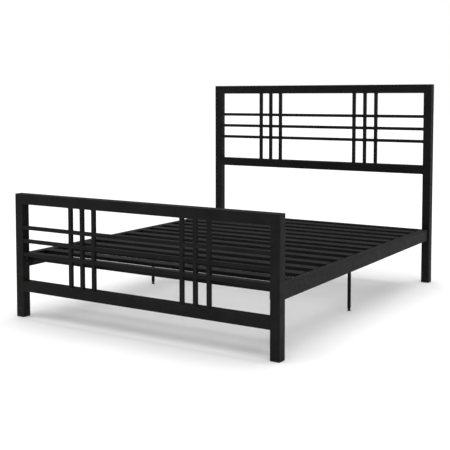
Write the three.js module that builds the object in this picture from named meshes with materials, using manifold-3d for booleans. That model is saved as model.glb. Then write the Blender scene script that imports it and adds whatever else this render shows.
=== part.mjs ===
// A queen-size steel bed frame: two welded boards, two side rails, a slatted deck and its support legs.
// Millimetres, +Z up. The origin is on the floor in the middle of the footprint. +Y runs from the
// footboard to the headboard, and +X is the right-hand side as seen from the foot.
import * as THREE from "three";
import { mergeVertices } from "three/addons/utils/BufferGeometryUtils.js";
import Module from "manifold-3d";

const wasm = await Module();
wasm.setup();

// ---------- driving dimensions ----------
const GAP = 0.3; // play between two pieces that meet
const BED = { width: 1575, length: 2010 };
const TUBE = { size: 50, railHigh: 54, wall: 1.5, corner: 3 }; // posts and the rails between them
// The grille inside each board. It sits footward of the middle, so its face nearly meets the rails' face.
const BAR = { size: 19, wall: 1.2, pitch: 75, footward: 12.5 };
const HEADBOARD = {
  name: "headboard",
  height: 1236,
  lowRail: "lower_rail",
  lowRailTop: 732,
  crossbars: [1036.5, 959, 881.5], // heights of their middles
  uprightGroup: 345, // from the bed's middle to the middle upright of each group
};
const FOOTBOARD = {
  name: "footboard",
  height: 652,
  lowRail: "bottom_rail",
  lowRailTop: 192.5,
  crossbars: [475, 404.75, 334.5],
  uprightGroup: 340,
};
const DECK_TOP = 335; // the mattress lies here
const SIDE_RAIL = { outerFace: 777, wide: 40, high: 70, wall: 1.5, corner: 3, endPlay: 0.5 };
const LEDGE = { wide: 27.5, high: 28, thick: 3, length: 1760 }; // the angle that the slats rest on
const PLATE = { long: 114, high: 52, thick: 4, corner: 6, onPost: 44, drop: 38 }; // joins rail to post
const BOLT = { shank: 4, head: 7, crown: 3.85, headHigh: 4.4, rim: 1.8, length: 20 }; // M8, radii
const HOLE = { radius: 4.5, spread: 28, facets: 12 };
const END_RAIL = { wide: 30, high: 40, wall: 1.2, corner: 2, offset: 2 };
const BEAM = { wide: 40, high: 30, wall: 1.5, corner: 2, y: 30 }; // over the legs, a little headward
const SLAT = { wide: 60, thick: 1, lip: 9, length: 1470, perRun: 6 };
const LEG = { x: 658, radius: 9.5, wall: 1.5, flange: 18, flangeThick: 3, bottom: 16, facets: 20 };
const FOOT_PAD = { radius: 9.5, sole: 8.3, high: 4, stem: 7.6, stemTop: 62 };
const GLIDE = { high: 4, plug: 20, wall: 2.5, chamfer: 1.5 };

// ---------- places worked out from them ----------
const POST_X = BED.width / 2 - TUBE.size / 2;
const POST_INNER_FACE = BED.width / 2 - TUBE.size;
const CLEAR_LENGTH = BED.length - 2 * TUBE.size;
const RAIL_INNER_FACE = SIDE_RAIL.outerFace - SIDE_RAIL.wide;
const LEDGE_TOP = DECK_TOP - 20;
const PLATE_FACE = POST_INNER_FACE - GAP; // the face of the plate that meets the post
const PLATE_Z = DECK_TOP - PLATE.drop;
const PLATE_Y = CLEAR_LENGTH / 2 + PLATE.onPost - PLATE.long / 2;
const BOLT_Y = CLEAR_LENGTH / 2 + TUBE.size / 2;
const BOLT_HEIGHTS = [PLATE_Z - HOLE.spread / 2, PLATE_Z + HOLE.spread / 2];
const END_RAIL_Y = CLEAR_LENGTH / 2 - END_RAIL.offset - END_RAIL.wide / 2;
const SIDES = [
  { side: -1, name: "left" },
  { side: 1, name: "right" },
];
const ENDS = [
  { sign: -1, end: "foot" },
  { sign: 1, end: "head" },
];

const powderCoat = new THREE.MeshStandardMaterial({ color: 0x1d1d1c, roughness: 0.42, metalness: 0.25 });
const moulding = new THREE.MeshStandardMaterial({ color: 0x141414, roughness: 0.65, metalness: 0 });
const blackZinc = new THREE.MeshStandardMaterial({ color: 0x2a2b2c, roughness: 0.4, metalness: 1 });

// ---------- small tools ----------
function solidOf(geometry) {
  const bare = geometry.clone();
  bare.deleteAttribute("normal");
  bare.deleteAttribute("uv");
  const merged = mergeVertices(bare, 1e-4);
  const vertProperties = merged.attributes.position.array;
  const triVerts = new Uint32Array(merged.index.array);
  return new wasm.Manifold(new wasm.Mesh({ numProp: 3, vertProperties, triVerts }));
}

function geometryOf(solid) {
  const { vertProperties, triVerts } = solid.getMesh();
  const geometry = new THREE.BufferGeometry();
  geometry.setAttribute("position", new THREE.BufferAttribute(vertProperties, 3));
  geometry.setIndex(new THREE.BufferAttribute(triVerts, 1));
  geometry.computeVertexNormals();
  return geometry;
}

function joined(geometries) {
  return geometryOf(geometries.map(solidOf).reduce((whole, next) => whole.add(next)));
}

function cutBy(geometry, cutters) {
  return geometryOf(cutters.map(solidOf).reduce((whole, next) => whole.subtract(next), solidOf(geometry)));
}

function boxAt(sizes, centre) {
  return new THREE.BoxGeometry(...sizes).translate(...centre);
}

function rectangle(wide, high, corner = 0) {
  const x = wide / 2 - corner;
  const y = high / 2 - corner;
  const outline = new THREE.Shape();
  if (corner === 0) {
    return outline.setFromPoints([[x, y], [-x, y], [-x, -y], [x, -y]].map((p) => new THREE.Vector2(...p)));
  }
  outline.absarc(x, y, corner, 0, Math.PI / 2);
  outline.absarc(-x, y, corner, Math.PI / 2, Math.PI);
  outline.absarc(-x, -y, corner, Math.PI, 1.5 * Math.PI);
  outline.absarc(x, -y, corner, 1.5 * Math.PI, 2 * Math.PI);
  return outline;
}

function tubeSection(wide, high, wall, corner = 0) {
  const section = rectangle(wide, high, corner);
  section.holes.push(rectangle(wide - 2 * wall, high - 2 * wall, Math.max(corner - wall, 0)));
  return section;
}

// The section is drawn in the plane across the axis and runs from 0 to length along it:
// (x, y) for axis z, (y, z) for axis x and (x, z) for axis y.
function extrudeAlong(axis, section, length, curveSegments = 1) {
  const geometry = new THREE.ExtrudeGeometry(section, { depth: length, bevelEnabled: false, curveSegments });
  const [x, y, z] = [0, 1, 2].map((i) => new THREE.Vector3().setComponent(i, 1));
  if (axis === "x") geometry.applyMatrix4(new THREE.Matrix4().makeBasis(y, z, x));
  if (axis === "y") geometry.rotateX(Math.PI / 2).translate(0, length, 0);
  return geometry;
}

function lathe(outline, facets) {
  return new THREE.LatheGeometry(outline.map((p) => new THREE.Vector2(...p)), facets);
}

// A bar along X that is centred on the origin.
function crossTube(length, wide, high, wall, corner) {
  return extrudeAlong("x", tubeSection(wide, high, wall, corner), length).translate(-length / 2, 0, 0);
}

function piece(name, geometry, material, position = [0, 0, 0]) {
  const mesh = new THREE.Mesh(geometry, material);
  mesh.name = name;
  mesh.position.set(...position);
  return mesh;
}

// ---------- the two welded boards ----------
// The top rail meets each post on a mitre that runs from the inner to the outer corner. The wedge is what
// one of the two pieces loses: away = 1 cuts the rail back, away = -1 cuts the post back.
function mitreWedge(side, height, away) {
  const inner = new THREE.Vector2(POST_INNER_FACE, height - TUBE.railHigh);
  const along = new THREE.Vector2(TUBE.size, TUBE.railHigh);
  const square = new THREE.Vector2(along.y, -along.x).normalize();
  const onLine = (t) => inner.clone().addScaledVector(along, t).addScaledVector(square, (-away * GAP) / 2);
  const reach = 4 * TUBE.size;
  const far = inner.clone().addScaledVector(along, 0.5).addScaledVector(square, away * reach);
  const corners = [onLine(-1), onLine(2), far];
  const outline = new THREE.Shape(corners.map((p) => new THREE.Vector2(side * p.x, p.y)));
  return extrudeAlong("y", outline, 2 * TUBE.size).translate(0, -TUBE.size, 0);
}

function boltHoles(side, boardSign) {
  return BOLT_HEIGHTS.map((z) =>
    new THREE.CylinderGeometry(HOLE.radius, HOLE.radius, TUBE.size / 2, HOLE.facets)
      .rotateZ(Math.PI / 2)
      .translate(side * POST_INNER_FACE, boardSign * BOLT_Y, z),
  );
}

function post(side, boardSign, height) {
  const bottom = GLIDE.high + GAP;
  const section = tubeSection(TUBE.size, TUBE.size, TUBE.wall, TUBE.corner);
  const tube = extrudeAlong("z", section, height - bottom);
  tube.translate(side * POST_X, boardSign * BOLT_Y, bottom);
  const wedge = mitreWedge(side, height, -1).translate(0, boardSign * BOLT_Y, 0);
  return cutBy(tube, [wedge, ...boltHoles(side, boardSign)]);
}

function topRail(height) {
  const tube = crossTube(BED.width, TUBE.size, TUBE.railHigh, TUBE.wall, TUBE.corner);
  tube.translate(0, 0, height - TUBE.railHigh / 2);
  return cutBy(tube, SIDES.map(({ side }) => mitreWedge(side, height, 1)));
}

function lowRail() {
  return crossTube(2 * (POST_INNER_FACE - GAP), TUBE.size, TUBE.railHigh, TUBE.wall, TUBE.corner);
}

// Crossbars and uprights lie in one plane. They are half-lapped: the crossbar keeps its front half
// where it meets an upright, and the upright keeps its back half.
function crossbar(uprights) {
  const bar = crossTube(2 * (POST_INNER_FACE - GAP), BAR.size, BAR.size, BAR.wall);
  const notch = [BAR.size + 2 * GAP, BAR.size, 2 * BAR.size];
  return cutBy(bar, uprights.map((x) => boxAt(notch, [x, (BAR.size - GAP) / 2, 0])));
}

function upright(bottom, top, crossbars) {
  const bar = extrudeAlong("z", tubeSection(BAR.size, BAR.size, BAR.wall), top - bottom);
  const notch = [2 * BAR.size, BAR.size, BAR.size + 2 * GAP];
  return cutBy(bar, crossbars.map((z) => boxAt(notch, [0, (GAP - BAR.size) / 2, z - bottom])));
}

function board({ name, height, lowRail: lowName, lowRailTop, crossbars, uprightGroup }, boardSign) {
  const group = new THREE.Group();
  const y = boardSign * BOLT_Y;
  const add = (part, geometry, material, place) =>
    group.add(piece(name + "_" + part, geometry, material, place));
  add("top_rail", topRail(height), powderCoat, [0, y, 0]);
  add(lowName, lowRail(), powderCoat, [0, y, lowRailTop - TUBE.railHigh / 2]);
  for (const { side, name: sideName } of SIDES) {
    add("post_" + sideName, post(side, boardSign, height), powderCoat);
    add("glide_" + sideName, glide(), moulding, [side * POST_X, y, 0]);
  }
  const uprights = [-1, 1].flatMap((side) =>
    [-1, 0, 1].map((step) => side * uprightGroup + step * BAR.pitch),
  );
  const grilleY = y - BAR.footward;
  crossbars.forEach((z, i) => add("crossbar_" + (i + 1), crossbar(uprights), powderCoat, [0, grilleY, z]));
  const bottom = lowRailTop + GAP;
  const bar = upright(bottom, height - TUBE.railHigh - GAP, crossbars);
  uprights.forEach((x, i) => add("upright_" + (i + 1), bar, powderCoat, [x, grilleY, bottom]));
  return group;
}

// The glide plugs the bottom of a post: a chamfered sole and a hollow square spigot.
function glide() {
  const spigot = TUBE.size - 2 * TUBE.wall - 2 * GAP;
  const { high, chamfer, wall, plug } = GLIDE;
  const sole = rectangle(TUBE.size - 2 * chamfer, TUBE.size - 2 * chamfer, TUBE.corner);
  const bevel = { bevelThickness: chamfer, bevelSize: chamfer, bevelSegments: 1, curveSegments: 1 };
  const flange = new THREE.ExtrudeGeometry(sole, { depth: high - chamfer, ...bevel });
  flange.translate(0, 0, chamfer);
  const above = boxAt([2 * TUBE.size, 2 * TUBE.size, TUBE.size], [0, 0, high + TUBE.size / 2]);
  const ring = extrudeAlong("z", tubeSection(spigot, spigot, wall, TUBE.corner - TUBE.wall), plug);
  return joined([cutBy(flange, [above]), ring.translate(0, 0, high - 1)]);
}

// ---------- the side rails ----------
// Each one is a weldment: a rectangular tube, the slat ledge on its inner face, and a plate at each end
// that laps the post.
function slatLedge(side) {
  const outer = RAIL_INNER_FACE + GAP; // a little way into the tube, so that the two are one body
  const inner = outer - LEDGE.wide;
  const low = LEDGE_TOP - LEDGE.high;
  const web = outer - LEDGE.thick;
  const under = LEDGE_TOP - LEDGE.thick;
  const top = [[outer, low], [outer, LEDGE_TOP], [inner, LEDGE_TOP]];
  const corners = [...top, [inner, under], [web, under], [web, low]];
  const section = new THREE.Shape(corners.map(([x, z]) => new THREE.Vector2(side * x, z)));
  const ledge = extrudeAlong("y", section, LEDGE.length).translate(0, -LEDGE.length / 2, 0);
  const beamNotch = [4 * LEDGE.wide, BEAM.wide + 2 * GAP, 2 * LEDGE.high];
  return cutBy(ledge, [boxAt(beamNotch, [side * RAIL_INNER_FACE, BEAM.y, LEDGE_TOP])]);
}

function cornerPlate(side, boardSign) {
  const section = rectangle(PLATE.long, PLATE.high, PLATE.corner);
  for (const z of BOLT_HEIGHTS) {
    const centre = [boardSign * (BOLT_Y - PLATE_Y), z - PLATE_Z];
    section.holes.push(new THREE.Path().absarc(...centre, HOLE.radius, 0, 2 * Math.PI));
  }
  const middle = side * (PLATE_FACE - PLATE.thick / 2);
  const plate = extrudeAlong("x", section, PLATE.thick, HOLE.facets / 2);
  return plate.translate(middle - PLATE.thick / 2, boardSign * PLATE_Y, PLATE_Z);
}

function sideRail(side) {
  const { outerFace, wide, high, wall, corner, endPlay } = SIDE_RAIL;
  const length = CLEAR_LENGTH - 2 * endPlay;
  const tube = extrudeAlong("y", tubeSection(wide, high, wall, corner), length);
  tube.translate(side * (outerFace - wide / 2), -length / 2, DECK_TOP - high / 2);
  return joined([tube, slatLedge(side), cornerPlate(side, -1), cornerPlate(side, 1)]);
}

// A button-head bolt along X with its head towards the middle of the bed.
function cornerBolt(side) {
  const { head, crown, headHigh, rim, shank, length } = BOLT;
  const headOutline = [[0, -headHigh], [crown, -headHigh], [head, -rim], [head, 0]];
  const outline = [...headOutline, [shank, 0], [shank, length - 1], [shank - 1, length], [0, length]];
  return lathe(outline, HOLE.facets).rotateZ((-side * Math.PI) / 2);
}

// ---------- the deck ----------
// A slat is a folded channel: flat top, two sides and two lips turned in under it.
function slat() {
  const half = SLAT.wide / 2;
  const inside = half - SLAT.thick;
  const high = DECK_TOP - LEDGE_TOP - GAP;
  const lip = half - SLAT.lip;
  const outside = [[lip, 0], [half, 0], [half, high], [-half, high], [-half, 0], [-lip, 0]];
  const hollow = [[-lip, SLAT.thick], [-inside, SLAT.thick], [-inside, high - SLAT.thick]];
  const corners = [...outside, ...hollow, ...hollow.toReversed().map(([y, z]) => [-y, z])];
  const section = new THREE.Shape(corners.map((p) => new THREE.Vector2(...p)));
  return extrudeAlong("x", section, SLAT.length).translate(-SLAT.length / 2, 0, 0);
}

// Slats of one run, evenly spaced between two members of the deck.
function slatPlaces(from, to) {
  const space = (to - from - SLAT.perRun * SLAT.wide) / (SLAT.perRun + 1);
  const first = from + space + SLAT.wide / 2;
  return Array.from({ length: SLAT.perRun }, (_, i) => first + i * (space + SLAT.wide));
}

function deck() {
  const group = new THREE.Group();
  const endRailLength = 2 * (PLATE_FACE - PLATE.thick - GAP);
  const endRail = crossTube(endRailLength, END_RAIL.wide, END_RAIL.high, END_RAIL.wall, END_RAIL.corner);
  for (const { end, sign } of ENDS) {
    const place = [0, sign * END_RAIL_Y, DECK_TOP - END_RAIL.high / 2];
    group.add(piece("deck_end_rail_" + end, endRail, powderCoat, place));
  }
  const beam = crossTube(2 * (RAIL_INNER_FACE - GAP), BEAM.wide, BEAM.high, BEAM.wall, BEAM.corner);
  group.add(piece("deck_middle_beam", beam, powderCoat, [0, BEAM.y, DECK_TOP - BEAM.high / 2]));
  const endRailFace = END_RAIL_Y - END_RAIL.wide / 2;
  const footRun = slatPlaces(-endRailFace, BEAM.y - BEAM.wide / 2);
  const headRun = slatPlaces(BEAM.y + BEAM.wide / 2, endRailFace);
  [...footRun, ...headRun].forEach((y, i) => {
    const name = "slat_" + String(i + 1).padStart(2, "0");
    group.add(piece(name, slat(), powderCoat, [0, y, LEDGE_TOP + GAP]));
  });
  return group;
}

// ---------- the support legs ----------
// A round tube with a flange on top that screws to the beam. It is open at both ends.
function supportLeg() {
  const top = DECK_TOP - BEAM.high - GAP;
  const bore = LEG.radius - LEG.wall;
  const under = top - LEG.flangeThick;
  const tubeOutline = [[bore, LEG.bottom], [LEG.radius, LEG.bottom], [LEG.radius, under]];
  const flangeOutline = [[LEG.flange, under], [LEG.flange, top], [bore, top], [bore, LEG.bottom]];
  return lathe([...tubeOutline, ...flangeOutline], LEG.facets).rotateX(Math.PI / 2);
}

// The foot screws up into the leg: a round sole with a thick stem that fills the bore.
function levellingFoot() {
  const { radius, sole, high, stem, stemTop } = FOOT_PAD;
  const pad = [[0, 0], [sole, 0], [radius, radius - sole], [radius, high]];
  return lathe([...pad, [stem, high], [stem, stemTop], [0, stemTop]], LEG.facets).rotateX(Math.PI / 2);
}

// ---------- the whole frame ----------
const group = new THREE.Group();
group.add(board(FOOTBOARD, -1), board(HEADBOARD, 1), deck());
for (const { side, name } of SIDES) {
  group.add(piece("side_rail_" + name, sideRail(side), powderCoat));
  group.add(piece("support_leg_" + name, supportLeg(), powderCoat, [side * LEG.x, BEAM.y, 0]));
  group.add(piece("levelling_foot_" + name, levellingFoot(), moulding, [side * LEG.x, BEAM.y, 0]));
  for (const { end, sign } of ENDS) {
    BOLT_HEIGHTS.forEach((z, i) => {
      const place = [side * (PLATE_FACE - PLATE.thick - GAP), sign * BOLT_Y, z];
      group.add(piece(["corner_bolt", end, name, i + 1].join("_"), cornerBolt(side), blackZinc, place));
    });
  }
}

export default group;
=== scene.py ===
# %% [markdown]
# # A black steel bed frame
# The real object is a headboard and a footboard, each welded from square steel tube, joined by two
# side rails that carry a slatted deck. The steelwork is powder coated black, the bolts are black zinc
# and the feet black plastic. A frame with every piece at its right size and place is loaded first,
# and each piece is then made again with its rounded corners, its welds and its finish. The loaded
# frame could be shown as it is, but its corners are sharp and its surfaces plain.

import math

import bmesh
import bpy
from mathutils import Matrix, Vector


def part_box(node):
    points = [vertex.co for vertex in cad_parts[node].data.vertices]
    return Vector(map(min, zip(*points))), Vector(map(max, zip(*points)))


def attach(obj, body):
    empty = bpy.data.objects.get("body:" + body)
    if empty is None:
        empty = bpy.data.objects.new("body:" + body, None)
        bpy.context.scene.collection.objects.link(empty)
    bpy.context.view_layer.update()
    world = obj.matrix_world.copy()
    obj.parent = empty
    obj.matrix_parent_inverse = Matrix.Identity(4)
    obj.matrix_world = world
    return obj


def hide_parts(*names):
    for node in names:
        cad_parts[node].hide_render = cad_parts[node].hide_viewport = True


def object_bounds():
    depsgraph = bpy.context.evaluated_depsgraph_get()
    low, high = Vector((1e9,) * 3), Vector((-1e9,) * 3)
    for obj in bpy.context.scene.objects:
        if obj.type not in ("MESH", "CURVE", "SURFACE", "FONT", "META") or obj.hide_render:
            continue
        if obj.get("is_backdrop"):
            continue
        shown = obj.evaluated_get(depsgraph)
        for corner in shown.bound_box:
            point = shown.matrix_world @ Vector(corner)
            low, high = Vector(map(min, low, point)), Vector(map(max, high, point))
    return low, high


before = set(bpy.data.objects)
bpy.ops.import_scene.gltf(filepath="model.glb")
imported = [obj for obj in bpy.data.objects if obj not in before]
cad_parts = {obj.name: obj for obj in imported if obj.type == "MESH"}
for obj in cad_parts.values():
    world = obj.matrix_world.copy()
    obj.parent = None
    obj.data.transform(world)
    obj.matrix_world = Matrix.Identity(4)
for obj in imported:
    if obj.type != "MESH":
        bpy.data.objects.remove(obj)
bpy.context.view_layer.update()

# %% [markdown]
# ## Measures
# Lengths are metres. Most sizes are read from the frame's own boxes, so a piece can't be made to the
# wrong size. What a box doesn't tell is the thickness of a wall and the radius of a corner, and those
# are named here.

# %% Measures
MM = 0.001
MAIN_TUBE = {"wall": 1.5 * MM, "corner": 3 * MM}
GRILLE_BAR = {"wall": 1.2 * MM, "corner": 1.6 * MM}
DECK_TUBE = {"wall": 1.5 * MM, "corner": 2.5 * MM}
BOARDS = {"footboard": "bottom_rail", "headboard": "lower_rail"}
SIDES = {"left": -1, "right": 1}
ENDS = {"foot": -1, "head": 1}
BODY = "bed_frame"


def middle_of(node):
    low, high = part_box(node)
    return (low + high) / 2


def size_of(node):
    low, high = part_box(node)
    return high - low


for board in BOARDS:
    print(board, "post", [round(s, 4) for s in size_of(board + "_post_left")])

# %% [markdown]
# ## How a finish is built
# A finish is a small tree of nodes. Each helper adds one kind of node and gives back its output, so
# that a recipe reads from top to bottom. All patterns are read from Object coordinates. The pieces
# stand at the origin with their place in their mesh, so a pattern keeps its real size and runs on
# from one piece to the next.


# %% Helpers for finishes
def new_finish(name):
    finish = bpy.data.materials.new(name)
    finish.use_nodes = True
    tree = finish.node_tree
    place = tree.nodes.new("ShaderNodeTexCoord").outputs["Object"]
    return finish, tree, tree.nodes["Principled BSDF"], place


def noise(tree, place, scale, detail=2.0, roughness=0.5, stretch=None):
    if stretch:
        mapping = tree.nodes.new("ShaderNodeMapping")
        mapping.inputs["Scale"].default_value = stretch
        tree.links.new(place, mapping.inputs["Vector"])
        place = mapping.outputs["Vector"]
    texture = tree.nodes.new("ShaderNodeTexNoise")
    texture.inputs["Scale"].default_value = scale
    texture.inputs["Detail"].default_value = detail
    texture.inputs["Roughness"].default_value = roughness
    tree.links.new(place, texture.inputs["Vector"])
    return texture.outputs["Fac"]


def spread(tree, value, from_low, from_high, low, high):
    """Turns the part of a value between two limits into another range, and holds it there."""
    node = tree.nodes.new("ShaderNodeMapRange")
    for name, number in zip(("From Min", "From Max", "To Min", "To Max"), (from_low, from_high, low, high)):
        node.inputs[name].default_value = number
    tree.links.new(value, node.inputs["Value"])
    return node.outputs["Result"]


def combine(tree, operation, first, second):
    node = tree.nodes.new("ShaderNodeMath")
    node.operation = operation
    for socket, value in zip(node.inputs, (first, second)):
        if isinstance(value, float):
            socket.default_value = value
        else:
            tree.links.new(value, socket)
    return node.outputs["Value"]


def tint(tree, amount, stops):
    ramp = tree.nodes.new("ShaderNodeValToRGB")
    for element, (position, colour) in zip(ramp.color_ramp.elements, stops):
        element.position = position
        element.color = (*colour, 1.0)
    tree.links.new(amount, ramp.inputs["Fac"])
    return ramp.outputs["Color"]


def blend(tree, amount, first, second):
    node = tree.nodes.new("ShaderNodeMix")
    node.data_type = "RGBA"
    tree.links.new(amount, node.inputs["Factor"])
    for socket, colour in ((node.inputs["A"], first), (node.inputs["B"], second)):
        if isinstance(colour, tuple):
            socket.default_value = (*colour, 1.0)
        else:
            tree.links.new(colour, socket)
    return node.outputs["Result"]


def relief(tree, height, strength, distance, below=None):
    node = tree.nodes.new("ShaderNodeBump")
    node.inputs["Strength"].default_value = strength
    node.inputs["Distance"].default_value = distance
    tree.links.new(height, node.inputs["Height"])
    if below is not None:
        tree.links.new(below, node.inputs["Normal"])
    return node.outputs["Normal"]


def rounded_edges(tree):
    """1 where the surface turns round a corner of a square tube and 0 on its flats."""
    geometry = tree.nodes.new("ShaderNodeNewGeometry")
    turned = tree.nodes.new("ShaderNodeVectorMath")
    turned.operation = "ABSOLUTE"
    tree.links.new(geometry.outputs["Normal"], turned.inputs[0])
    parts = tree.nodes.new("ShaderNodeSeparateXYZ")
    tree.links.new(turned.outputs["Vector"], parts.inputs["Vector"])
    most = combine(tree, "MAXIMUM", parts.outputs["X"], parts.outputs["Y"])
    most = combine(tree, "MAXIMUM", most, parts.outputs["Z"])
    return spread(tree, most, 0.99, 0.86, 0.0, 1.0)


def height_above_floor(tree, place):
    parts = tree.nodes.new("ShaderNodeSeparateXYZ")
    tree.links.new(place, parts.inputs["Vector"])
    return parts.outputs["Z"]


print("helpers for finishes are ready")

# %% [markdown]
# ## Black powder coat
# The real finish is a powder that was melted onto the steel. It is a satin black, faintly dimpled
# like the peel of an orange, with slow changes of gloss where the film is thicker. Hands and bedding
# polish it along the edges, and shoes and brooms scuff it near the floor. A single black with one
# roughness would look like a drawing, so colour, gloss and relief each get a pattern of their own.
# The weld version has the ripple of a weld bead under the same film.


# %% Black powder coat
def powder_coat(name, edges=True, ripple=False):
    finish, tree, shader, place = new_finish(name)
    shader.inputs["Metallic"].default_value = 0.0
    shader.inputs["IOR"].default_value = 1.5
    shader.inputs["Specular IOR Level"].default_value = 0.13
    cloud = noise(tree, place, 9.0, 3.0)
    colour = tint(tree, cloud, ((0.35, (0.0050, 0.0050, 0.0049)), (0.68, (0.0088, 0.0088, 0.0086))))
    film = noise(tree, place, 46.0, 3.0)
    gloss = spread(tree, film, 0.3, 0.7, 0.56, 0.67)
    if edges:
        patches = spread(tree, noise(tree, place, 75.0, 4.0), 0.42, 0.66, 0.15, 1.0)
        rub = combine(tree, "MULTIPLY", rounded_edges(tree), patches)
        colour = blend(tree, combine(tree, "MULTIPLY", rub, 0.6), colour, (0.030, 0.030, 0.029))
        gloss = combine(tree, "SUBTRACT", gloss, combine(tree, "MULTIPLY", rub, 0.10))
    near_floor = spread(tree, height_above_floor(tree, place), 0.13, 0.0, 0.0, 1.0)
    scuffs = spread(tree, noise(tree, place, 90.0, 5.0, 0.62, (1.0, 1.0, 0.22)), 0.56, 0.66, 0.0, 1.0)
    scuffs = combine(tree, "MULTIPLY", scuffs, near_floor)
    colour = blend(tree, combine(tree, "MULTIPLY", scuffs, 0.5), colour, (0.040, 0.039, 0.037))
    gloss = combine(tree, "ADD", gloss, combine(tree, "MULTIPLY", scuffs, 0.14))
    surface = relief(tree, noise(tree, place, 620.0, 2.0), 0.10, 0.3 * MM)
    surface = relief(tree, noise(tree, place, 105.0, 2.0), 0.06, 0.8 * MM, surface)
    if ripple:
        surface = relief(tree, noise(tree, place, 380.0, 1.0), 0.55, 0.8 * MM, surface)
    tree.links.new(colour, shader.inputs["Base Color"])
    tree.links.new(gloss, shader.inputs["Roughness"])
    tree.links.new(surface, shader.inputs["Normal"])
    return finish


COAT = powder_coat("satin_black_coat")
ROUND_COAT = powder_coat("satin_black_coat_on_round_tube", edges=False)
WELD_COAT = powder_coat("satin_black_coat_on_weld", edges=False, ripple=True)
print("coats:", COAT.name, ROUND_COAT.name, WELD_COAT.name)

# %% [markdown]
# ## Moulded black plastic
# The glides under the posts and the levelling feet are moulded polyethylene. The mould was sparked,
# so the plastic has a fine, even grain and little gloss. It greys where it rubs on the floor.


# %% Moulded black plastic
def moulded_plastic():
    finish, tree, shader, place = new_finish("black_moulded_plastic")
    shader.inputs["Specular IOR Level"].default_value = 0.4
    cloud = noise(tree, place, 30.0, 3.0)
    colour = tint(tree, cloud, ((0.35, (0.009, 0.009, 0.009)), (0.7, (0.014, 0.014, 0.0135))))
    worn = spread(tree, height_above_floor(tree, place), 3.0 * MM, 0.0, 0.0, 1.0)
    streaks = spread(tree, noise(tree, place, 160.0, 4.0), 0.45, 0.65, 0.0, 1.0)
    worn = combine(tree, "MULTIPLY", worn, streaks)
    colour = blend(tree, worn, colour, (0.045, 0.044, 0.042))
    gloss = spread(tree, noise(tree, place, 120.0, 3.0), 0.3, 0.7, 0.52, 0.66)
    grain = relief(tree, noise(tree, place, 1500.0, 2.0), 0.25, 0.15 * MM)
    tree.links.new(colour, shader.inputs["Base Color"])
    tree.links.new(gloss, shader.inputs["Roughness"])
    tree.links.new(grain, shader.inputs["Normal"])
    return finish


PLASTIC = moulded_plastic()
print("plastic:", PLASTIC.name)

# %% [markdown]
# ## Black zinc plate
# The bolts and screws are steel with black zinc plate, which matches the coat but stays a metal: it
# has cloudy patches, and it is rubbed brighter where a key or a spanner has slipped. The rolled
# threads and turned heads leave it finely scratched. Stretching a noise along one axis turns it into
# such scratches.


# %% Black zinc plate
def zinc_plate():
    finish, tree, shader, place = new_finish("black_zinc_plate")
    shader.inputs["Metallic"].default_value = 1.0
    cloud = noise(tree, place, 260.0, 3.0)
    colour = tint(tree, cloud, ((0.3, (0.030, 0.030, 0.032)), (0.72, (0.062, 0.062, 0.064))))
    rubbed = spread(tree, noise(tree, place, 520.0, 4.0), 0.58, 0.70, 0.0, 0.6)
    colour = blend(tree, rubbed, colour, (0.22, 0.22, 0.22))
    gloss = spread(tree, noise(tree, place, 700.0, 3.0), 0.3, 0.7, 0.30, 0.46)
    scratches = relief(tree, noise(tree, place, 900.0, 3.0, 0.6, (1.0, 0.15, 1.0)), 0.2, 0.1 * MM)
    tree.links.new(colour, shader.inputs["Base Color"])
    tree.links.new(gloss, shader.inputs["Roughness"])
    tree.links.new(scratches, shader.inputs["Normal"])
    return finish


ZINC = zinc_plate()
print("zinc:", ZINC.name)

# %% [markdown]
# ## Shapes to start from
# Steel tube begins as one flat outline. The outline's corners are rounded by a bevel, an inset gives
# the thickness of the wall, and pulling the ring that is left along the tube's axis gives the tube.
# A cube with a bevel would look the same from outside, but a real tube is hollow, and its open ends
# and bolt holes show that.


# %% Helpers for shapes
def moved_verts(made):
    return [part for part in made["geom"] if isinstance(part, bmesh.types.BMVert)]


def outline(shape, wide, high, corner, steps=4):
    """A flat face in the XY plane, centred on the origin, with round corners."""
    made = bmesh.ops.create_grid(shape, x_segments=1, y_segments=1, size=0.5)
    verts = made["verts"]
    bmesh.ops.scale(shape, vec=(wide, high, 1.0), verts=verts)
    face = verts[0].link_faces[0]
    if corner:
        made = bmesh.ops.bevel(
            shape, geom=verts, offset=corner, offset_type="OFFSET", affect="VERTICES",
            segments=steps, profile=0.5, material=-1,
        )
        face = made["verts"][0].link_faces[0]
    return face


def ring_of(shape, face, wall):
    """Leaves only a rim of that thickness from a face."""
    rim = bmesh.ops.inset_individual(shape, faces=[face], thickness=wall, use_even_offset=True)["faces"]
    bmesh.ops.delete(shape, geom=[face], context="FACES_ONLY")
    return rim


def pull(shape, faces, by):
    made = bmesh.ops.extrude_face_region(shape, geom=faces)
    verts = moved_verts(made)
    bmesh.ops.translate(shape, vec=by, verts=verts)
    return verts


def face_outwards(shape):
    bmesh.ops.recalc_face_normals(shape, faces=shape.faces[:])
    return shape


TURN = {
    "z": Matrix.Identity(3),
    "x": Matrix(((0, 0, 1), (1, 0, 0), (0, 1, 0))),
    "y": Matrix(((0, 1, 0), (0, 0, 1), (1, 0, 0))),
}


def square_tube(size, along, wall, corner, longer=0.0):
    """A hollow tube of that size, centred on the origin. The turn takes the tube's own Z to its axis."""
    wide, high, length = TURN[along].transposed() @ Vector(size)
    shape = bmesh.new()
    rim = ring_of(shape, outline(shape, wide, high, corner), wall)
    length += 2 * longer
    pull(shape, rim, (0, 0, length))
    bmesh.ops.translate(shape, vec=(0, 0, -length / 2), verts=shape.verts)
    bmesh.ops.transform(shape, matrix=TURN[along].to_4x4(), verts=shape.verts)
    return face_outwards(shape)


def move_to(shape, place):
    bmesh.ops.translate(shape, vec=place, verts=shape.verts)
    return shape


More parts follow.
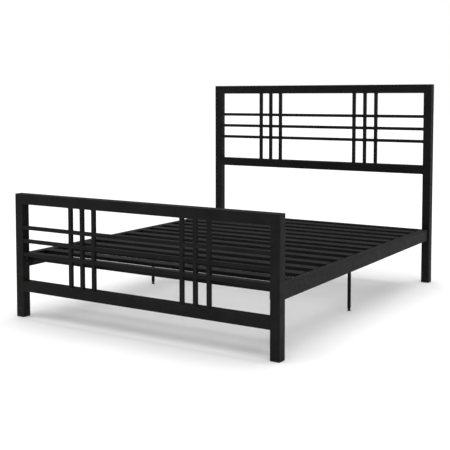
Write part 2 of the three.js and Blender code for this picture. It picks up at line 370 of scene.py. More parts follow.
def add_copy(target, shape, matrix):
    """Adds a copy of a finished shape to another one, at its place."""
    mesh = bpy.data.meshes.new("copy")
    shape.to_mesh(mesh)
    mesh.transform(matrix)
    target.from_mesh(mesh)
    bpy.data.meshes.remove(mesh)


def is_closed(mesh):
    shape = bmesh.new()
    shape.from_mesh(mesh)
    closed = all(len(edge.link_faces) == 2 for edge in shape.edges)
    shape.free()
    return closed


sample = square_tube((0.05, 0.05, 1.0), "z", **MAIN_TUBE)
print("a metre of main tube:", len(sample.faces), "faces,", round(sample.calc_volume() * 7.85e3, 2), "kg")
sample.free()

# %% [markdown]
# ## From a shape to a piece
# A finished shape becomes an object that rides on a body of the frame and stands for its node. Its
# faces are shaded smooth, with edges kept sharp where two faces meet at more than 35 degrees, and
# the Weighted Normal modifier keeps the large flats flat beside their round corners.


# %% Finish a piece
PIECES = []


def finish_piece(name, shape, finish, slot, nodes=(), body=BODY, soften=0.0, crisp=35.0):
    mesh = bpy.data.meshes.new(name)
    shape.to_mesh(mesh)
    shape.free()
    piece = bpy.data.objects.new(name, mesh)
    bpy.context.scene.collection.objects.link(piece)
    mesh.materials.append(finish)
    if soften:
        bevel = piece.modifiers.new("soft_edges", "BEVEL")
        bevel.width = soften
        bevel.segments = 2
        bevel.limit_method = "ANGLE"
        bevel.angle_limit = math.radians(50)
    mesh.shade_smooth()
    mesh.set_sharp_from_angle(angle=math.radians(crisp))
    flats = piece.modifiers.new("flat_flats", "WEIGHTED_NORMAL")
    flats.keep_sharp = True
    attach(piece, body)
    if nodes:
        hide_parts(*nodes)
    PIECES.append(piece)
    if not is_closed(mesh):
        print("NOT CLOSED:", name)
    return piece


def coated(name, shape, nodes=(), **more):
    return finish_piece(name, shape, COAT, "black_powder_coat", nodes, **more)


def carved(shape, cutters):
    """Cuts closed shapes out of a shape with a Boolean modifier and gives back the new shape."""
    made = []
    for part in (shape, cutters):
        mesh = bpy.data.meshes.new("blank")
        part.to_mesh(mesh)
        part.free()
        made.append(bpy.data.objects.new("blank", mesh))
        bpy.context.scene.collection.objects.link(made[-1])
    blank, tool = made
    cut = blank.modifiers.new("cut", "BOOLEAN")
    cut.operation, cut.solver, cut.object = "DIFFERENCE", "EXACT", tool
    graph = bpy.context.evaluated_depsgraph_get()
    result = bmesh.new()
    result.from_mesh(blank.evaluated_get(graph).to_mesh())
    for part in made:
        mesh = part.data
        bpy.data.objects.remove(part)
        bpy.data.meshes.remove(mesh)
    bmesh.ops.remove_doubles(result, verts=result.verts, dist=1e-6)
    return result


def block(size, place):
    shape = bmesh.new()
    bmesh.ops.create_cube(shape, size=1.0)
    bmesh.ops.scale(shape, vec=size, verts=shape.verts)
    return move_to(shape, place)


def rod(radius, length, along, facets=24):
    shape = bmesh.new()
    bmesh.ops.create_cone(
        shape, cap_ends=True, segments=facets, radius1=radius, radius2=radius, depth=length
    )
    bmesh.ops.transform(shape, matrix=TURN[along].to_4x4(), verts=shape.verts)
    return shape


print("ready to finish pieces")

# %% [markdown]
# ## Posts and top rails
# The posts and the top rail of a board are square tube, joined by a mitre that runs from the inner to
# the outer corner, welded and ground flush. The tube is made a little too long, one plane cuts it at
# the mitre, and the two loops that the cut leaves are bridged to close the wall. A boolean would cut
# it too, but a plane leaves cleaner faces.


# %% Mitred tubes
def mitre(shape, corner, away):
    bmesh.ops.bisect_plane(
        shape, geom=shape.verts[:] + shape.edges[:] + shape.faces[:],
        plane_co=corner, plane_no=away, clear_outer=True,
    )
    bmesh.ops.bridge_loops(shape, edges=[edge for edge in shape.edges if edge.is_boundary])
    return face_outwards(shape)


SEAM = 0.02 * MM
BOLT_HOLE = 4.5 * MM


def mitre_line(board, side):
    """A point on the mitre and the direction across it that points down and out, to the post."""
    post_low, post_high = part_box(board + "_post_" + side)
    rail_low, rail_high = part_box(board + "_top_rail")
    sign = SIDES[side]
    inner = min(abs(post_low.x), abs(post_high.x))
    outer = max(abs(post_low.x), abs(post_high.x))
    corner = Vector((sign * inner, 0.0, rail_low.z))
    across = Vector((sign * (rail_high.z - rail_low.z), 0.0, inner - outer)).normalized()
    return corner, across


for board in BOARDS:
    rail = square_tube(size_of(board + "_top_rail"), "x", longer=0.05, **MAIN_TUBE)
    move_to(rail, middle_of(board + "_top_rail"))
    for side, sign in SIDES.items():
        corner, across = mitre_line(board, side)
        mitre(rail, corner - SEAM * across, across)
        node = board + "_post_" + side
        low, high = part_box(node)
        post = square_tube(high - low, "z", longer=0.05, **MAIN_TUBE)
        move_to(post, (low + high) / 2)
        mitre(post, corner + SEAM * across, -across)
        mitre(post, low, Vector((0, 0, -1)))
        holes = bmesh.new()
        end = "foot" if board == "footboard" else "head"
        for number in "12":
            bolt = middle_of("_".join(("corner_bolt", end, side, number)))
            inner = Vector((sign * min(abs(low.x), abs(high.x)), bolt.y, bolt.z))
            add_copy(holes, rod(BOLT_HOLE, 0.02, "x"), Matrix.Translation(inner))
        coated(node + "_tube", carved(post, holes), [node])
    coated(board + "_top_rail_tube", rail, [board + "_top_rail"])
    print(board, "posts and top rail made")

# %% [markdown]
# ## The low rail of each board
# A straight length of the same tube stands between the posts. It is welded along its top and its
# underside, where the bead can stay, and ground flush on its faces. It is a hair longer than in the
# loaded frame, so that it meets the posts.

# %% Low rails
MEETS_POSTS = 0.5 * MM
for board, rail in BOARDS.items():
    node = board + "_" + rail
    size = size_of(node)
    size.x += MEETS_POSTS
    coated(node + "_tube", move_to(square_tube(size, "x", **MAIN_TUBE), middle_of(node)), [node])
    print(node, "length", round(size.x, 4))

# %% [markdown]
# ## The grille
# Crossbars and uprights are thin square tube in one plane. Each crossing is a half lap: the crossbar
# keeps its front half and the upright its back half. The uprights in a board are all alike, and so
# are the crossbars, so each is cut once and copied to its places.


# %% Grille bars
def numbered(board, kind, count):
    return [f"{board}_{kind}_{i + 1}" for i in range(count)]


CROSSBARS, UPRIGHTS = 3, 6
LAP_PLAY = 0.05 * MM

for board in BOARDS:
    bars = numbered(board, "crossbar", CROSSBARS)
    uprights = numbered(board, "upright", UPRIGHTS)
    bar_size, upright_size = size_of(bars[0]), size_of(uprights[0])
    across = min(bar_size.z, upright_size.x)
    notches = bmesh.new()
    for node in uprights:
        notch = block((across + 2 * LAP_PLAY, across, 2 * across), (middle_of(node).x, across / 2, 0))
        add_copy(notches, notch, Matrix.Identity(4))
    crossbar = carved(square_tube(bar_size, "x", **GRILLE_BAR), notches)
    notches = bmesh.new()
    centre = middle_of(uprights[0]).z
    for node in bars:
        place = (0, LAP_PLAY - across / 2, middle_of(node).z - centre)
        add_copy(notches, block((2 * across, across, across + 2 * LAP_PLAY), place), Matrix.Identity(4))
    upright = carved(square_tube(upright_size, "z", **GRILLE_BAR), notches)
    for pattern, nodes in ((crossbar, bars), (upright, uprights)):
        for node in nodes:
            coated(node + "_bar", move_to(pattern.copy(), middle_of(node)), [node])
        pattern.free()
    print(board, "grille bars are", round(across / MM, 1), "mm square")

# %% [markdown]
# ## Weld beads
# Two kinds of bead hold a board together. A fillet runs round the end of each grille bar, and a short
# straight bead fills each inner corner of a crossing. The fillet starts as a rounded outline with a
# hole for the bar; its outer rim is bevelled to a quarter round. The straight bead is a short rod
# with rings that swell and shrink, as a welder's bead does. The corners of the bars hide most of it.

# %% Bead shapes
FILLET = 2.2 * MM
ROOT = 1.1 * MM
BEAD = 2.1 * MM
LOW_RAIL_BEAD, CORNERS_LEFT_BARE = 2.6 * MM, 6 * MM
LYING_ALONG_Y = Matrix.Rotation(math.pi / 2, 4, "X")


def fillet_ring(wide, high):
    """A fillet round a bar that stands on the XY plane. Its root reaches into the tube wall below."""
    shape = bmesh.new()
    corner = GRILLE_BAR["corner"] + FILLET
    face = outline(shape, wide + 2 * FILLET, high + 2 * FILLET, corner, steps=3)
    pull(shape, ring_of(shape, face, FILLET + 0.3 * MM), (0, 0, FILLET + ROOT))
    move_to(shape, (0, 0, -ROOT))
    face_outwards(shape)
    rim = []
    for edge in shape.edges:
        up = [f for f in edge.link_faces if f.normal.z > 0.9]
        level = [f for f in edge.link_faces if abs(f.normal.z) < 0.1]
        out = [f for f in level if f.normal.dot(f.calc_center_median()) > 0]
        if up and out:
            rim.append(edge)
    bmesh.ops.bevel(
        shape, geom=rim, offset=0.9 * FILLET, offset_type="OFFSET", affect="EDGES",
        segments=3, profile=0.5, material=-1,
    )
    return shape


def straight_bead(length, radius=BEAD, facets=8, pitch=2.4 * MM):
    """A bead along Z, centred on the origin, that swells and shrinks once in each pitch."""
    shape = rod(radius, length, "z", facets)
    sides = [edge for edge in shape.edges if abs(edge.verts[0].co.z - edge.verts[1].co.z) > length / 2]
    rings = max(3, 2 * round(length / pitch) - 1)
    bmesh.ops.subdivide_edges(shape, edges=sides, cuts=rings)
    step = length / (rings + 1)
    for vert in shape.verts:
        ring = round((vert.co.z + length / 2) / step)
        size = 0.55 if ring in (0, rings + 1) else (1.0, 0.86)[ring % 2]
        vert.co.x, vert.co.y = vert.co.x * size, vert.co.y * size
    return face_outwards(shape)


sample = straight_bead(17 * MM)
print("a bead 17 mm long has", len(sample.faces), "faces")
sample.free()

# %% Beads of the boards
for board, rail in BOARDS.items():
    bars = numbered(board, "crossbar", CROSSBARS)
    uprights = numbered(board, "upright", UPRIGHTS)
    across = size_of(bars[0]).z
    y = middle_of(bars[0]).y
    welds = bmesh.new()
    ring = fillet_ring(across, across)
    crossing = straight_bead(across - 1.5 * MM, facets=6)
    low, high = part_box(bars[0])
    for bar in bars:
        z = middle_of(bar).z
        for x, turn in ((low.x, math.pi / 2), (high.x, -math.pi / 2)):
            spot = Matrix.Translation((x, y, z)) @ Matrix.Rotation(turn, 4, "Y")
            add_copy(welds, ring, spot)
        for upright in uprights:
            x = middle_of(upright).x
            for right in (-1, 1):
                for up in (-1, 1):
                    spot = Vector((x + right * across / 2, y, z + up * across / 2))
                    add_copy(welds, crossing, Matrix.Translation(spot) @ LYING_ALONG_Y)
    for upright in uprights:
        low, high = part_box(upright)
        x = (low.x + high.x) / 2
        add_copy(welds, ring, Matrix.Translation((x, y, low.z)))
        flipped = Matrix.Translation((x, y, high.z)) @ Matrix.Rotation(math.pi, 4, "X")
        add_copy(welds, ring, flipped)
    low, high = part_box(board + "_" + rail)
    rail_bead = straight_bead(high.y - low.y - CORNERS_LEFT_BARE, radius=LOW_RAIL_BEAD)
    for x in (low.x, high.x):
        for z in (low.z, high.z):
            spot = Matrix.Translation((x, (low.y + high.y) / 2, z))
            add_copy(welds, rail_bead, spot @ LYING_ALONG_Y)
    for shape in (ring, crossing, rail_bead):
        shape.free()
    print(board, "weld faces:", len(welds.faces))
    finish_piece(board + "_welds", welds, WELD_COAT, "black_powder_coat", crisp=60.0)

# %% [markdown]
# ## Side rails
# A side rail is a rectangular tube with a steel angle welded to its inner face for the slats, and a
# plate at each end that laps the post and takes two bolts. The angle is folded sheet: a strip with its fold
# bevelled to a bend radius, then given its thickness. It is interrupted where the middle beam passes.

# %% Side rail sizes
RAIL = {"wide": 40 * MM, "corner": 3.5 * MM, "wall": 1.5 * MM, "end_play": 0.5 * MM}
LEDGE = {"wide": 27.2 * MM, "high": 28 * MM, "thick": 3 * MM, "below_top": 20 * MM, "length": 1.76}
PLATE = {"long": 114 * MM, "high": 52 * MM, "thick": 4 * MM, "corner": 6 * MM}
PLATE_ON_POST, PLATE_DROP, PLATE_GAP = 44 * MM, 38 * MM, 0.3 * MM
ANGLE_BEND, BEAM_GAP = 3.2 * MM, 0.5 * MM

deck_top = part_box("slat_01")[1].z
post_low, post_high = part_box("footboard_post_right")
post_inner = post_low.x
rail_bottom, rail_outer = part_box("side_rail_right")[0].z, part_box("side_rail_right")[1].x
rail_high = deck_top - rail_bottom
rail_inner = rail_outer - RAIL["wide"]
clear_half = -post_high.y
rail_half = clear_half - RAIL["end_play"]
plate_face = post_inner - PLATE_GAP
beam_low, beam_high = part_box("deck_middle_beam")
print("deck top", round(deck_top, 4), "rail inner face", round(rail_inner, 4))


# %% Folded sheet
def folded_sheet(points, run, thick, bend):
    """A strip through these points, pulled along run, its folds rounded, with thickness added inside."""
    shape = bmesh.new()
    verts = [shape.verts.new(point) for point in points]
    edges = [shape.edges.new(pair) for pair in zip(verts, verts[1:])]
    made = bmesh.ops.extrude_edge_only(shape, edges=edges)
    bmesh.ops.translate(shape, vec=run, verts=moved_verts(made))
    folds = [edge for edge in shape.edges if len(edge.link_faces) == 2]
    bmesh.ops.bevel(
        shape, geom=folds, offset=bend, offset_type="OFFSET", affect="EDGES",
        segments=4, profile=0.5, material=-1,
    )
    bmesh.ops.recalc_face_normals(shape, faces=shape.faces[:])
    bmesh.ops.solidify(shape, geom=shape.faces[:], thickness=thick)
    return face_outwards(shape)


def end_plate(side, end):
    """The plate at one end of a side rail, with its two bolt holes."""
    shape = bmesh.new()
    face = outline(shape, PLATE["long"], PLATE["high"], PLATE["corner"], steps=6)
    pull(shape, [face], (0, 0, PLATE["thick"]))
    bmesh.ops.transform(shape, matrix=TURN["x"].to_4x4(), verts=shape.verts)
    x = plate_face - PLATE["thick"] if side > 0 else -plate_face
    y = end * (clear_half + PLATE_ON_POST - PLATE["long"] / 2)
    move_to(shape, (x, y, deck_top - PLATE_DROP))
    face_outwards(shape)
    holes = bmesh.new()
    names = ("foot" if end < 0 else "head", "left" if side < 0 else "right")
    for number in "12":
        bolt = middle_of("_".join(("corner_bolt", *names, number)))
        add_copy(holes, rod(BOLT_HOLE, 0.03, "x"), Matrix.Translation((side * plate_face, bolt.y, bolt.z)))
    return carved(shape, holes)


# %% Side rails, ledges and plates
for name, side in SIDES.items():
    node = "side_rail_" + name
    tube = square_tube((RAIL["wide"], 2 * rail_half, rail_high), "y", RAIL["wall"], RAIL["corner"])
    move_to(tube, (side * (rail_outer - RAIL["wide"] / 2), 0, deck_top - rail_high / 2))
    coated(node + "_tube", tube, [node])
    top = deck_top - LEDGE["below_top"]
    foot, corner = (side * rail_inner, 0, top - LEDGE["high"]), (side * rail_inner, 0, top)
    lip = (side * (rail_inner - LEDGE["wide"]), 0, top)
    ledge = bmesh.new()
    half = LEDGE["length"] / 2
    for start, stop in ((-half, beam_low.y - BEAM_GAP), (beam_high.y + BEAM_GAP, half)):
        sheet = folded_sheet([foot, corner, lip], (0, stop - start, 0), LEDGE["thick"], ANGLE_BEND)
        add_copy(ledge, sheet, Matrix.Translation((0, start, 0)))
        sheet.free()
    low_z = min(v.co.z for v in ledge.verts)
    print(node, "ledge from", round(low_z, 4), "to", round(max(v.co.z for v in ledge.verts), 4))
    coated(node + "_slat_ledge", ledge, soften=0.5 * MM)
    for end_name, end in ENDS.items():
        coated(f"{node}_plate_{end_name}", end_plate(side, end), soften=0.6 * MM)

# %% [markdown]
# ## Beads of the side rails
# The angle is stitched to the tube with short beads every quarter of a metre, which warps it less
# than one long bead. Each plate is welded along its upper and lower edge and at its inner end.

# %% Side rail welds
STITCH = 32 * MM
STITCH_PITCH = 0.25
ALONG_PLATE, ACROSS_PLATE, FROM_PLATE_END = 58 * MM, 38 * MM, 34 * MM
RAIL_BEAD = 2.4 * MM

for name, side in SIDES.items():
    welds = bmesh.new()
    stitch = straight_bead(STITCH, radius=RAIL_BEAD)
    ledge_foot = deck_top - LEDGE["below_top"] - LEDGE["high"]
    count = int(LEDGE["length"] / STITCH_PITCH)
    for i in range(count):
        y = (i - (count - 1) / 2) * STITCH_PITCH
        if beam_low.y - STITCH < y < beam_high.y + STITCH:
            continue
        add_copy(welds, stitch, Matrix.Translation((side * rail_inner, y, ledge_foot)) @ LYING_ALONG_Y)
    along = straight_bead(ALONG_PLATE, radius=RAIL_BEAD)
    upright = straight_bead(ACROSS_PLATE, radius=RAIL_BEAD)
    for end in ENDS.values():
        y_inner = end * (clear_half + PLATE_ON_POST - PLATE["long"])
        y_mid = y_inner + end * FROM_PLATE_END
        for half_high in (-PLATE["high"] / 2, PLATE["high"] / 2):
            z = deck_top - PLATE_DROP + half_high
            spot = Matrix.Translation((side * rail_inner, y_mid, z))
            add_copy(welds, along, spot @ LYING_ALONG_Y)
        spot = Vector((side * rail_inner, y_inner, deck_top - PLATE_DROP))
        add_copy(welds, upright, Matrix.Translation(spot))
    for shape in (stitch, along, upright):
        shape.free()
    print("side rail", name, "weld faces:", len(welds.faces))
    finish_piece(f"side_rail_{name}_welds", welds, WELD_COAT, "black_powder_coat", crisp=60.0)

# %% [markdown]
# ## Bolts
# The corner bolts are button heads with a hexagon socket. The outline of the bolt is spun about its
# axis, up to the flat round the socket; a hexagon is pushed down for the socket, and the circle and
# the hexagon are bridged. The thread is a row of ridges, because a true spiral can't be seen inside
# the post.


# %% Turned shapes
def turned(points, facets):
    """Spins an outline of (radius, height) points about Z. Open ends stay open."""
    shape = bmesh.new()
    verts = [shape.verts.new((radius, 0, height)) for radius, height in points]
    edges = [shape.edges.new(pair) for pair in zip(verts, verts[1:])]
    bmesh.ops.spin(
        shape, geom=verts + edges, cent=(0, 0, 0), axis=(0, 0, 1),
        angle=2 * math.pi, steps=facets, use_merge=True,
    )
    bmesh.ops.remove_doubles(shape, verts=shape.verts, dist=1e-7)
    return shape


def turned_ring(points, facets):
    """Spins a closed outline, so the shape has a bore."""
    return face_outwards(turned([*points, points[0]], facets))


def thread(radius, depth, start, stop, pitch):
    """The outline of a thread between two heights: crest, root, crest."""
    turns = int(abs(stop - start) / pitch)
    step = (stop - start) / turns
    points = []
    for i in range(turns):
        points += [(radius, start + i * step), (radius - depth, start + (i + 0.5) * step)]
    return points


def socket_head(points, facets, socket, deep):
    """A turned shape whose open top circle gets a hexagon socket."""
    shape = turned(points, facets)
    top = points[-1][1]
    made = bmesh.ops.create_circle(
        shape, cap_ends=True, segments=6, radius=socket, matrix=Matrix.Translation((0, 0, top))
    )
    floor = made["verts"][0].link_faces[0]
    pull(shape, [floor], (0, 0, -deep))
    bmesh.ops.delete(shape, geom=[floor], context="FACES_ONLY")
    bmesh.ops.bridge_loops(shape, edges=[edge for edge in shape.edges if edge.is_boundary])
    return face_outwards(shape)


# %% Corner bolts
SHANK, HEAD, HEAD_HIGH, BOLT_LONG, HEAD_GAP = 4 * MM, 7 * MM, 4.4 * MM, 20 * MM, 0.1 * MM
DOME = [(HEAD, -0.4 * MM), (HEAD, -1.5 * MM), (6.7 * MM, -2.3 * MM), (6.0 * MM, -3.2 * MM),
        (5.0 * MM, -3.95 * MM), (4.0 * MM, -HEAD_HIGH), (3.1 * MM, -HEAD_HIGH)]

points = [(0, BOLT_LONG), (SHANK - 1 * MM, BOLT_LONG), (SHANK, BOLT_LONG - 1 * MM)]
points += thread(SHANK, 0.65 * MM, BOLT_LONG - 1.6 * MM, 1.5 * MM, 1.25 * MM)
points += [(SHANK, 1.2 * MM), (SHANK, 0), (HEAD - 0.4 * MM, 0), *DOME]
points = [(radius, -height) for radius, height in points]
button_bolt = socket_head(points, 24, 2.9 * MM, 2.6 * MM)
insert = turned_ring(
    [(4.05 * MM, -0.4 * MM), (4.45 * MM, -0.4 * MM), (4.45 * MM, -3.0 * MM), (5.6 * MM, -3.6 * MM),
     (5.6 * MM, -4.6 * MM), (4.45 * MM, -5.2 * MM), (4.45 * MM, -14 * MM), (4.05 * MM, -14 * MM)], 20,
)
for end in ENDS:
    for name, side in SIDES.items():
        inserts = bmesh.new()
        for number in "12":
            node = "_".join(("corner_bolt", end, name, number))
            low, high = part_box(node)
            seat = side * (plate_face - PLATE["thick"] - HEAD_GAP)
            head_inwards = Matrix.Rotation(-side * math.pi / 2, 4, "Y")
            centre = Vector((seat, (low.y + high.y) / 2, (low.z + high.z) / 2))
            bolt = button_bolt.copy()
            bmesh.ops.transform(bolt, matrix=Matrix.Translation(centre) @ head_inwards, verts=bolt.verts)
            finish_piece(node + "_button_head", bolt, ZINC, "zinc_steel", [node])
            centre.x = side * post_inner
            add_copy(inserts, insert, Matrix.Translation(centre) @ head_inwards)
        finish_piece(f"threaded_inserts_{end}_{name}", inserts, ZINC, "zinc_steel")
print("bolt faces:", len(button_bolt.faces), "insert faces:", len(insert.faces))
button_bolt.free()
insert.free()

# %% [markdown]
# ## Screws
# Small screws, each with a washer under its hexagon head, hold the slat ends and the cross members.
# They are hidden in use, so each is only a turned shank, a washer and a six-sided head.


# %% Hexagon screw
def hex_screw(shank, head, washer, high, length):
    """A screw along Z whose washer sits on the XY plane, with its head below."""
    tip = [(0, length), (0.3 * shank, length - 1.2 * shank)]
    ridges = thread(shank, 0.25 * shank, length - 1.6 * shank, 0.4 * MM, 0.9 * MM)
    neck = [(shank, 0.1 * MM), (shank, 0), (washer - 0.2 * MM, 0), (washer, -0.2 * MM)]
    under = [(washer, -0.8 * MM), (washer - 0.3 * MM, -1.1 * MM), (0, -1.1 * MM)]
    shape = face_outwards(turned([*tip, *ridges, *neck, *under], 16))
    made = bmesh.ops.create_cone(
        shape, cap_ends=True, segments=6, radius1=0.9 * head, radius2=head, depth=high,
        matrix=Matrix.Translation((0, 0, -1.0 * MM - high / 2)),
    )
    edges = {edge for vert in made["verts"] for edge in vert.link_edges}
    rim = {edge for edge in edges if abs(edge.verts[0].co.z - edge.verts[1].co.z) < 1e-6}
    bmesh.ops.bevel(
        shape, geom=list(rim), offset=0.3 * MM, offset_type="OFFSET", affect="EDGES",
        segments=1, profile=0.5, material=-1,
    )
    return shape


screw = hex_screw(2.1 * MM, 4.0 * MM, 5.0 * MM, 3.0 * MM, 11 * MM)
print("screw faces:", len(screw.faces))

# %% [markdown]
# ## The deck
# Two end rails and a middle beam cross the bed. Each one stands on an angle tab at either end, with a
# screw up into it. The slats are sheet steel folded to a flat channel with its lips turned in. They
# are made like the ledge, from one strip of sheet with five faces.

# %% End rails and middle beam
CROSS_MEMBERS = ("deck_end_rail_foot", "deck_end_rail_head", "deck_middle_beam")
for node in CROSS_MEMBERS:
    tube = square_tube(size_of(node), "x", **DECK_TUBE)
    coated(node + "_tube", move_to(tube, middle_of(node)), [node])

TAB = {"deep": 26 * MM, "high": 18 * MM, "thick": 3 * MM, "short_of_rail": 4 * MM}
TAB_SIDE_GAP, TAB_TOP_GAP = 0.2 * MM, 0.15 * MM
for node in CROSS_MEMBERS:
    low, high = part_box(node)
    for name, side in SIDES.items():
        wall = side * ((rail_inner if "beam" in node else plate_face - PLATE["thick"]) - TAB_SIDE_GAP)
        under = low.z - TAB_TOP_GAP
        start = low.y + TAB["short_of_rail"]
        stop = high.y - TAB["short_of_rail"]
        foot, corner = (wall, start, under - TAB["high"]), (wall, start, under)
        lip = (wall - side * TAB["deep"], start, under)
        tab = folded_sheet([foot, corner, lip], (0, stop - start, 0), TAB["thick"], ANGLE_BEND)
        coated(f"{node}_tab_{name}", tab, soften=0.5 * MM)
        fixing = bmesh.new()
        spot = (wall - side * 0.6 * TAB["deep"], (start + stop) / 2, under - TAB["thick"])
        add_copy(fixing, screw, Matrix.Translation(spot))
        finish_piece(f"{node}_screw_{name}", fixing, ZINC, "zinc_steel")
    print(node, "stands on tabs at", round(under, 4))

# %% Slats
SLAT = {"thick": 1.0 * MM, "bend": 2.2 * MM, "lip": 9 * MM}
SCREW_FROM_RAIL, SCREW_FROM_SIDE = 15 * MM, 5 * MM
slat_nodes = sorted(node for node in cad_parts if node.startswith("slat_"))
low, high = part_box(slat_nodes[0])
half, tall = (high.y - low.y) / 2, high.z - low.z
right_half = [(half - SLAT["lip"], 0), (half, 0), (half, tall)]
section = right_half + [(-across, up) for across, up in reversed(right_half)]
for node in slat_nodes:
    low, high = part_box(node)
    y = (low.y + high.y) / 2
    points = [(low.x, y + across, low.z + up) for across, up in section]
    slat = folded_sheet(points, (high.x - low.x, 0, 0), SLAT["thick"], SLAT["bend"])
    coated(node + "_folded", slat, [node])
print(len(slat_nodes), "slats,", round(half * 2, 4), "wide and", round(tall, 4), "high")

ledge_under = deck_top - LEDGE["below_top"] - LEDGE["thick"]
for name, side in SIDES.items():
    fixings = bmesh.new()
    for node in slat_nodes:
        for across in (-1, 1):
            y = middle_of(node).y + across * (half - SCREW_FROM_SIDE)
            spot = (side * (rail_inner - SCREW_FROM_RAIL), y, ledge_under)
            add_copy(fixings, screw, Matrix.Translation(spot))
    finish_piece("slat_screws_" + name, fixings, ZINC, "zinc_steel")
screw.free()

# %% [markdown]
# ## Support legs
# Two round legs carry the middle beam. Each has a flange on top that two screws hold to the beam, and
# a fillet of weld where the tube meets it. All of it is turned, so its outlines are spun.

# %% Support legs
LEG = {"radius": 9.5 * MM, "bore": 8 * MM, "flange": 18 * MM, "thick": 3 * MM}
FLANGE_SCREW_OUT = 14.7 * MM
flange_screw = hex_screw(1.6 * MM, 2.1 * MM, 2.4 * MM, 1.6 * MM, 8 * MM)
for name, side in SIDES.items():
    node = "support_leg_" + name
    low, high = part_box(node)
    spot = Matrix.Translation((middle_of(node).x, middle_of(node).y, 0))
    under = high.z - LEG["thick"]
    edge = 0.6 * MM
    points = [
        (LEG["bore"], low.z), (LEG["radius"] - edge / 2, low.z), (LEG["radius"], low.z + edge / 2),
        (LEG["radius"], under), (LEG["flange"] - edge, under), (LEG["flange"], under + edge),
        (LEG["flange"], high.z - edge), (LEG["flange"] - edge, high.z), (LEG["bore"], high.z),
    ]
    leg = turned_ring(points, 48)
    bmesh.ops.transform(leg, matrix=spot, verts=leg.verts)
    finish_piece(node + "_tube", leg, ROUND_COAT, "black_powder_coat", [node])
    reach = LEG["radius"] + 2 * MM
    bead = [(LEG["radius"] - 0.2 * MM, under + 0.2 * MM), (LEG["radius"] - 0.2 * MM, under - 2 * MM)]
    bead += [(LEG["radius"] + 0.8 * MM, under - 1.7 * MM), (LEG["radius"] + 1.6 * MM, under - 0.9 * MM)]
    bead += [(reach, under + 0.2 * MM)]
    welds = turned_ring(bead, 48)
    bmesh.ops.transform(welds, matrix=spot, verts=welds.verts)
    finish_piece(node + "_weld", welds, WELD_COAT, "black_powder_coat", crisp=60.0)
    fixings = bmesh.new()
    for step in (-1, 1):
        away = Matrix.Translation((middle_of(node).x + step * FLANGE_SCREW_OUT, middle_of(node).y, under))
        add_copy(fixings, flange_screw, away)
    finish_piece(node + "_screws", fixings, ZINC, "zinc_steel")
    print(node, "from", round(low.z, 4), "to", round(high.z, 4))
flange_screw.free()

# %% [markdown]
# ## Levelling feet
# Each leg ends in a plastic foot that screws up into it. Below the leg a short length of its coarse
# thread shows, above a round sole with ribs for the fingers. The feet are the only pieces that move,
# and each one rides on its own body.

# %% Levelling feet
FOOT = {"sole": 9.5 * MM, "edge": 1.2 * MM, "high": 4 * MM, "stem": 7.6 * MM, "pitch": 3 * MM}
GRIP_RIBS = 24
for name, side in SIDES.items():
    node = "levelling_foot_" + name
    low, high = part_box(node)
    inside = FOOT["sole"] - 0.5 * MM
    points = [(0, low.z), (inside - FOOT["edge"], low.z), (inside, FOOT["edge"])]
    points += [(inside, FOOT["high"] - 0.5 * MM), (inside - 0.5 * MM, FOOT["high"])]
    points += [(FOOT["stem"] - 0.9 * MM, FOOT["high"])]
    points += thread(FOOT["stem"], 0.9 * MM, FOOT["high"] + 1.5 * MM, high.z - 3 * MM, FOOT["pitch"])
    points += [(FOOT["stem"] - 1.5 * MM, high.z), (0, high.z)]
    foot = face_outwards(turned(points, 48))
    rib = rod(0.9 * MM, FOOT["high"] - 1.6 * MM, "z", 8)
    for i in range(GRIP_RIBS):
        angle = 2 * math.pi * i / GRIP_RIBS
        out = FOOT["sole"] - 0.9 * MM
        place = Vector((out * math.cos(angle), out * math.sin(angle), 0.5 * FOOT["high"] + 0.3 * MM))
        add_copy(foot, rib, Matrix.Translation(place))
    rib.free()
    move_to(foot, (middle_of(node).x, middle_of(node).y, 0))
    finish_piece(node + "_moulded", foot, PLASTIC, "black_plastic", [node], body=name + "_foot")
    print(node, "reaches up to", round(high.z, 4))

# %% [markdown]
# ## Glides
# A plastic glide plugs the bottom of each post. It is drawn from one outline: the sole is pulled up,
# its lower edge is bevelled, and two insets on its top leave the square spigot that grips the inside
# of the tube.

# %% Post glides
GLIDE = {"high": 4 * MM, "chamfer": 1.5 * MM, "spigot_wall": 2.5 * MM, "clearance": 0.3 * MM}
for board in BOARDS:
    for name in SIDES:
        node = board + "_glide_" + name
        low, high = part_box(node)
        wide = high.x - low.x
        shape = bmesh.new()
        face = outline(shape, wide, wide, MAIN_TUBE["corner"])
        pull(shape, [face], (0, 0, GLIDE["high"]))
        face_outwards(shape)
        base = [edge for edge in shape.edges if all(vert.co.z < 1e-6 for vert in edge.verts)]
        bmesh.ops.bevel(
            shape, geom=base, offset=GLIDE["chamfer"], offset_type="OFFSET", affect="EDGES",
            segments=3, profile=0.5, material=-1,
        )
        top = max(shape.faces, key=lambda f: f.calc_center_median().z)
        step_in = MAIN_TUBE["wall"] + GLIDE["clearance"]
        bmesh.ops.inset_individual(shape, faces=[top], thickness=step_in, use_even_offset=True)
        made = bmesh.ops.inset_individual(
            shape, faces=[top], thickness=GLIDE["spigot_wall"], use_even_offset=True
        )
        pull(shape, made["faces"], (0, 0, high.z - low.z - GLIDE["high"]))
        bmesh.ops.delete(shape, geom=made["faces"], context="FACES_ONLY")
        face_outwards(shape)
        centre = middle_of(node)
        move_to(shape, (centre.x, centre.y, low.z))
        finish_piece(node + "_moulded", shape, PLASTIC, "black_plastic", [node])
print("glides are", round(wide / MM, 1), "mm square")

# %% [markdown]
# ## Floor and light
# The frame stands on a plain pale floor in an even white studio. A wide soft light from straight above
# whitens the floor and leaves a soft shade under the bed, and the studio itself adds a little light
# from all sides. A camera sees the studio as pure white, but it lights the frame with about a third
# of that, because a black coat in a room as bright as its picture would shine grey.


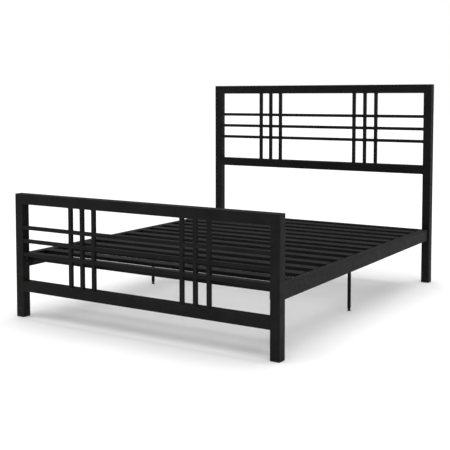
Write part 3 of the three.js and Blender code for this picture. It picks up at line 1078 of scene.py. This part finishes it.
# %% Floor and light
def pale_floor():
    finish, tree, shader, place = new_finish("pale_studio_floor")
    shader.inputs["Specular IOR Level"].default_value = 0.1
    cloud = noise(tree, place, 1.3, 3.0)
    colour = tint(tree, cloud, ((0.3, (0.90, 0.90, 0.90)), (0.7, (0.93, 0.93, 0.93))))
    gloss = spread(tree, noise(tree, place, 30.0, 3.0), 0.3, 0.7, 0.8, 0.92)
    grain = relief(tree, noise(tree, place, 240.0, 2.0), 0.05, 0.5 * MM)
    tree.links.new(colour, shader.inputs["Base Color"])
    tree.links.new(gloss, shader.inputs["Roughness"])
    tree.links.new(grain, shader.inputs["Normal"])
    return finish


shape = bmesh.new()
bmesh.ops.create_grid(shape, x_segments=1, y_segments=1, size=60.0)
floor_mesh = bpy.data.meshes.new("studio_floor")
shape.to_mesh(floor_mesh)
shape.free()
floor = bpy.data.objects.new("studio_floor", floor_mesh)
floor_mesh.materials.append(pale_floor())
bpy.context.scene.collection.objects.link(floor)
floor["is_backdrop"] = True

world = bpy.data.worlds.new("white_studio")
world.use_nodes = True
backdrop = world.node_tree.nodes["Background"]
backdrop.inputs["Color"].default_value = (1.0, 1.0, 1.0, 1.0)
seen = world.node_tree.nodes.new("ShaderNodeLightPath").outputs["Is Camera Ray"]
ROOM_LIGHT = 0.33
OVERHEAD_LIGHT = 3.1
strength = spread(world.node_tree, seen, 0.0, 1.0, ROOM_LIGHT, 1.0)
world.node_tree.links.new(strength, backdrop.inputs["Strength"])
bpy.context.scene.world = world

overhead = bpy.data.lights.new("overhead_light", "SUN")
overhead.energy = OVERHEAD_LIGHT
overhead.angle = math.radians(80)
overhead_lamp = bpy.data.objects.new("overhead_light", overhead)
overhead_lamp.location = (0.0, 0.0, 4.0)
bpy.context.scene.collection.objects.link(overhead_lamp)
scene = bpy.context.scene
scene.view_settings.view_transform = "Standard"
scene.view_settings.look = "None"
print("room light", ROOM_LIGHT, "overhead light", OVERHEAD_LIGHT)

# %% [markdown]
# ## Camera
# The camera stands off the bed's right foot corner at about chest height. A long lens keeps the two
# boards close in size. It looks down only a little, so that the posts stay nearly upright, and the
# lens shift lowers the view to take in the floor. Tipping the camera down further would do that too,
# but then the posts would lean together.

# %% Camera
STAND = Vector((2.5685, -4.3312, 1.1513))
TURNED, TIPPED = math.radians(31.779), math.radians(3.8346)
camera_data = bpy.data.cameras.new("camera")
camera_data.sensor_width = 36.0
camera_data.lens = 70.47
camera_data.shift_y = -0.151
camera = bpy.data.objects.new("camera", camera_data)
camera.location = STAND
camera.rotation_euler = (math.pi / 2 - TIPPED, 0.0, TURNED)
scene.collection.objects.link(camera)
scene.camera = camera
print("camera at", tuple(round(c, 3) for c in STAND), "lens", camera_data.lens)

# %% [markdown]
# ## Last look
# The new pieces should fill the same box as the frame they were built on. The box that they fill is written
# down, with the count of pieces and faces.

# %% Measure and finish
low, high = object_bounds()
print(len(PIECES), "pieces,", sum(len(p.data.polygons) for p in PIECES), "faces")
print("box now", [round(c, 4) for c in low], [round(c, 4) for c in high])
